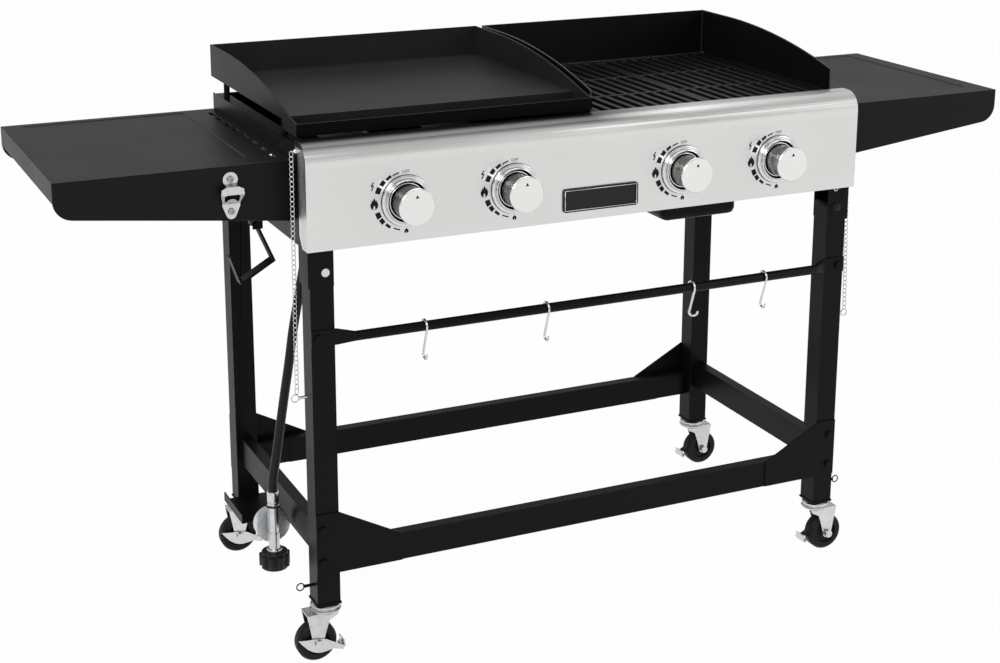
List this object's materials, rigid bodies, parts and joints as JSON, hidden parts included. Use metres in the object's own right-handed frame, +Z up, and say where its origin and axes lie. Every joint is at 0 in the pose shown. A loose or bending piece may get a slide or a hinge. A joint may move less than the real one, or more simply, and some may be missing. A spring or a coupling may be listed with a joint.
{
  "type": "gas grill and griddle combo",
  "caption": "Gas grill and griddle combination on a folding leg frame with casters, side tables, stainless control panel, turning knobs, drip tray, hook rail and gas hose.",
  "frame": {"origin": "centre of the bounding box at floor level, under the middle of the body", "axes": "+X to the right along the length over the side tables, -Y to the front with the knobs, +Z up"},
  "size_m": [1.689, 0.544, 0.916],
  "materials": {
    "black_coat": "satin powder coat",
    "stainless": "brushed",
    "chrome": "polished",
    "knob_metal": "satin",
    "zinc": "bright zinc",
    "regulator_metal": "cast",
    "brass": "machined",
    "griddle_iron": "satin",
    "grate_iron": "matt enamel",
    "black_plastic": "moulded",
    "hose_rubber": "smooth",
    "wheel_rubber": "smooth"
  },
  "bodies": {
    "grill_body": {"firebox": "black_coat", "side_panel_left": "black_coat", "side_panel_right": "black_coat", "control_panel": "stainless", "knob_bezels": "chrome", "badge_plate": "black_plastic", "burners": "stainless", "gas_manifold": "brass", "heat_tents": "stainless", "leg_brackets": "black_coat", "pivot_bolts": "zinc", "side_table_left": "black_coat", "side_table_right": "black_coat", "bottle_opener": "stainless", "pin_chains": "zinc", "gas_hose": "hose_rubber", "regulator": "regulator_metal"},
    "griddle": {"griddle": "griddle_iron"},
    "cooking_grate_left": {"cooking_grate_left": "grate_iron"},
    "cooking_grate_right": {"cooking_grate_right": "grate_iron"},
    "wind_guard": {"wind_guard": "black_coat"},
    "drip_tray": {"drip_tray": "black_coat"},
    "tank_hook": {"tank_hook": "black_coat"},
    "hook_rail": {"hook_rail": "black_coat"},
    "front_crossbar": {"front_crossbar": "black_coat"},
    "rear_crossbar": {"rear_crossbar": "black_coat"},
    "connector_nut": {"connector_nut": "black_plastic"},
    "lock_pins_left": {"lock_pins_left": "zinc"},
    "lock_pins_right": {"lock_pins_right": "zinc"},
    "left_legs": {"leg_front_left": "black_coat", "leg_rear_left": "black_coat", "side_brace_left": "black_coat", "tank_rest": "black_coat"},
    "right_legs": {"leg_front_right": "black_coat", "leg_rear_right": "black_coat", "side_brace_right": "black_coat"},
    "valve_stem_1": {"valve_stem_1": "brass"},
    "knob_1": {"knob_1": "knob_metal"},
    "valve_stem_2": {"valve_stem_2": "brass"},
    "knob_2": {"knob_2": "knob_metal"},
    "valve_stem_3": {"valve_stem_3": "brass"},
    "knob_3": {"knob_3": "knob_metal"},
    "valve_stem_4": {"valve_stem_4": "brass"},
    "knob_4": {"knob_4": "knob_metal"},
    "s_hook_1": {"s_hook_1": "zinc"},
    "s_hook_2": {"s_hook_2": "zinc"},
    "s_hook_3": {"s_hook_3": "zinc"},
    "s_hook_4": {"s_hook_4": "zinc"},
    "caster_fork_front_left": {"caster_fork_front_left": "zinc"},
    "caster_wheel_front_left": {"caster_wheel_front_left": "wheel_rubber"},
    "caster_brake_front_left": {"caster_brake_front_left": "zinc"},
    "caster_fork_rear_left": {"caster_fork_rear_left": "zinc"},
    "caster_wheel_rear_left": {"caster_wheel_rear_left": "wheel_rubber"},
    "caster_brake_rear_left": {"caster_brake_rear_left": "zinc"},
    "caster_fork_front_right": {"caster_fork_front_right": "zinc"},
    "caster_wheel_front_right": {"caster_wheel_front_right": "wheel_rubber"},
    "caster_brake_front_right": {"caster_brake_front_right": "zinc"},
    "caster_fork_rear_right": {"caster_fork_rear_right": "zinc"},
    "caster_wheel_rear_right": {"caster_wheel_rear_right": "wheel_rubber"},
    "caster_brake_rear_right": {"caster_brake_rear_right": "zinc"}
  },
  "joints": [
    {"name": "griddle_lift", "type": "slide", "parent": "grill_body", "child": "griddle", "axis": [0, 0, 1], "range_m": [0, 0.15]},
    {"name": "grate_left_lift", "type": "slide", "parent": "grill_body", "child": "cooking_grate_left", "axis": [0, 0, 1], "range_m": [0, 0.15]},
    {"name": "grate_right_lift", "type": "slide", "parent": "grill_body", "child": "cooking_grate_right", "axis": [0, 0, 1], "range_m": [0, 0.15]},
    {"name": "guard_lift", "type": "slide", "parent": "grill_body", "child": "wind_guard", "axis": [0, 0, 1], "range_m": [0, 0.15]},
    {"name": "tray_slide", "type": "slide", "parent": "grill_body", "child": "drip_tray", "axis": [0, 1, 0], "range_m": [0, 0.25]},
    {"name": "knob_1_push", "type": "slide", "parent": "grill_body", "child": "valve_stem_1", "axis": [0, 1, 0], "range_m": [0, 0.003], "stiffness_N_per_m": 400, "springref_m": -0.002},
    {"name": "knob_1_turn", "type": "hinge", "parent": "valve_stem_1", "child": "knob_1", "pos_m": [-0.332, -0.25, 0.744], "axis": [0, -1, 0], "range_deg": [0, 180]},
    {"name": "knob_2_push", "type": "slide", "parent": "grill_body", "child": "valve_stem_2", "axis": [0, 1, 0], "range_m": [0, 0.003], "stiffness_N_per_m": 400, "springref_m": -0.002},
    {"name": "knob_2_turn", "type": "hinge", "parent": "valve_stem_2", "child": "knob_2", "pos_m": [-0.151, -0.25, 0.744], "axis": [0, -1, 0], "range_deg": [0, 180]},
    {"name": "knob_3_push", "type": "slide", "parent": "grill_body", "child": "valve_stem_3", "axis": [0, 1, 0], "range_m": [0, 0.003], "stiffness_N_per_m": 400, "springref_m": -0.002},
    {"name": "knob_3_turn", "type": "hinge", "parent": "valve_stem_3", "child": "knob_3", "pos_m": [0.151, -0.25, 0.744], "axis": [0, -1, 0], "range_deg": [0, 180]},
    {"name": "knob_4_push", "type": "slide", "parent": "grill_body", "child": "valve_stem_4", "axis": [0, 1, 0], "range_m": [0, 0.003], "stiffness_N_per_m": 400, "springref_m": -0.002},
    {"name": "knob_4_turn", "type": "hinge", "parent": "valve_stem_4", "child": "knob_4", "pos_m": [0.332, -0.25, 0.744], "axis": [0, -1, 0], "range_deg": [0, 180]},
    {"name": "tank_hook_swing", "type": "hinge", "parent": "grill_body", "child": "tank_hook", "pos_m": [-0.4815, 0.068, 0.654], "axis": [0, 1, 0], "range_deg": [-25, 35]},
    {"name": "left_leg_fold", "type": "hinge", "parent": "grill_body", "child": "left_legs", "pos_m": [-0.461, 0, 0.645], "axis": [0, 1, 0], "range_deg": [-90, 0]},
    {"name": "right_leg_fold", "type": "hinge", "parent": "grill_body", "child": "right_legs", "pos_m": [0.461, 0, 0.645], "axis": [0, 1, 0], "range_deg": [0, 58.5]},
    {"name": "front_crossbar_off", "type": "slide", "parent": "grill_body", "child": "front_crossbar", "axis": [0, -1, 0], "range_m": [0, 0.301]},
    {"name": "rear_crossbar_off", "type": "slide", "parent": "grill_body", "child": "rear_crossbar", "axis": [0, 1, 0], "range_m": [0, 0.301]},
    {"name": "hook_rail_off", "type": "slide", "parent": "grill_body", "child": "hook_rail", "axis": [0, -1, 0], "range_m": [0, 0.301]},
    {"name": "s_hook_1_swing", "type": "hinge", "parent": "hook_rail", "child": "s_hook_1", "pos_m": [-0.303, -0.22405, 0.5405], "axis": [1, 0, 0], "range_deg": [-30, 30]},
    {"name": "s_hook_2_swing", "type": "hinge", "parent": "hook_rail", "child": "s_hook_2", "pos_m": [-0.093, -0.22405, 0.5405], "axis": [1, 0, 0], "range_deg": [-30, 30]},
    {"name": "s_hook_3_swing", "type": "hinge", "parent": "hook_rail", "child": "s_hook_3", "pos_m": [0.175, -0.22405, 0.5405], "axis": [1, 0, 0], "range_deg": [-30, 30]},
    {"name": "s_hook_4_swing", "type": "hinge", "parent": "hook_rail", "child": "s_hook_4", "pos_m": [0.315, -0.22405, 0.5405], "axis": [1, 0, 0], "range_deg": [-30, 30]},
    {"name": "lock_pins_left_pull", "type": "slide", "parent": "left_legs", "child": "lock_pins_left", "axis": [-1, 0, 0], "range_m": [0, 0.045]},
    {"name": "lock_pins_right_pull", "type": "slide", "parent": "right_legs", "child": "lock_pins_right", "axis": [1, 0, 0], "range_m": [0, 0.045]},
    {"name": "caster_front_left_swivel", "type": "hinge", "parent": "left_legs", "child": "caster_fork_front_left", "pos_m": [-0.465, -0.195, 0.09], "axis": [0, 0, 1], "continuous": true},
    {"name": "caster_front_left_roll", "type": "hinge", "parent": "caster_fork_front_left", "child": "caster_wheel_front_left", "pos_m": [-0.483, -0.195, 0.033], "axis": [0, 1, 0], "continuous": true},
    {"name": "caster_front_left_brake", "type": "hinge", "parent": "caster_fork_front_left", "child": "caster_brake_front_left", "pos_m": [-0.483, -0.195, 0.033], "axis": [0, -1, 0], "range_deg": [0, 10]},
    {"name": "caster_rear_left_swivel", "type": "hinge", "parent": "left_legs", "child": "caster_fork_rear_left", "pos_m": [-0.465, 0.233, 0.09], "axis": [0, 0, 1], "continuous": true},
    {"name": "caster_rear_left_roll", "type": "hinge", "parent": "caster_fork_rear_left", "child": "caster_wheel_rear_left", "pos_m": [-0.483, 0.233, 0.033], "axis": [0, 1, 0], "continuous": true},
    {"name": "caster_rear_left_brake", "type": "hinge", "parent": "caster_fork_rear_left", "child": "caster_brake_rear_left", "pos_m": [-0.483, 0.233, 0.033], "axis": [0, -1, 0], "range_deg": [0, 10]},
    {"name": "caster_front_right_swivel", "type": "hinge", "parent": "right_legs", "child": "caster_fork_front_right", "pos_m": [0.465, -0.195, 0.09], "axis": [0, 0, 1], "continuous": true},
    {"name": "caster_front_right_roll", "type": "hinge", "parent": "caster_fork_front_right", "child": "caster_wheel_front_right", "pos_m": [0.483, -0.195, 0.033], "axis": [0, 1, 0], "continuous": true},
    {"name": "caster_front_right_brake", "type": "hinge", "parent": "caster_fork_front_right", "child": "caster_brake_front_right", "pos_m": [0.483, -0.195, 0.033], "axis": [0, 1, 0], "range_deg": [0, 10]},
    {"name": "caster_rear_right_swivel", "type": "hinge", "parent": "right_legs", "child": "caster_fork_rear_right", "pos_m": [0.465, 0.233, 0.09], "axis": [0, 0, 1], "continuous": true},
    {"name": "caster_rear_right_roll", "type": "hinge", "parent": "caster_fork_rear_right", "child": "caster_wheel_rear_right", "pos_m": [0.483, 0.233, 0.033], "axis": [0, 1, 0], "continuous": true},
    {"name": "caster_rear_right_brake", "type": "hinge", "parent": "caster_fork_rear_right", "child": "caster_brake_rear_right", "pos_m": [0.483, 0.233, 0.033], "axis": [0, 1, 0], "range_deg": [0, 10]},
    {"name": "connector_nut_turn", "type": "hinge", "parent": "grill_body", "child": "connector_nut", "pos_m": [-0.508, -0.072, 0.123], "axis": [0, 0, 1], "continuous": true}
  ],
  "couplings": [
    {"joint": "right_leg_fold", "follows": "left_leg_fold", "ratio": -0.65},
    {"joint": "front_crossbar_off", "follows": "left_leg_fold", "m_per_rad": -0.191},
    {"joint": "rear_crossbar_off", "follows": "left_leg_fold", "m_per_rad": -0.191},
    {"joint": "hook_rail_off", "follows": "left_leg_fold", "m_per_rad": -0.191}
  ]
}
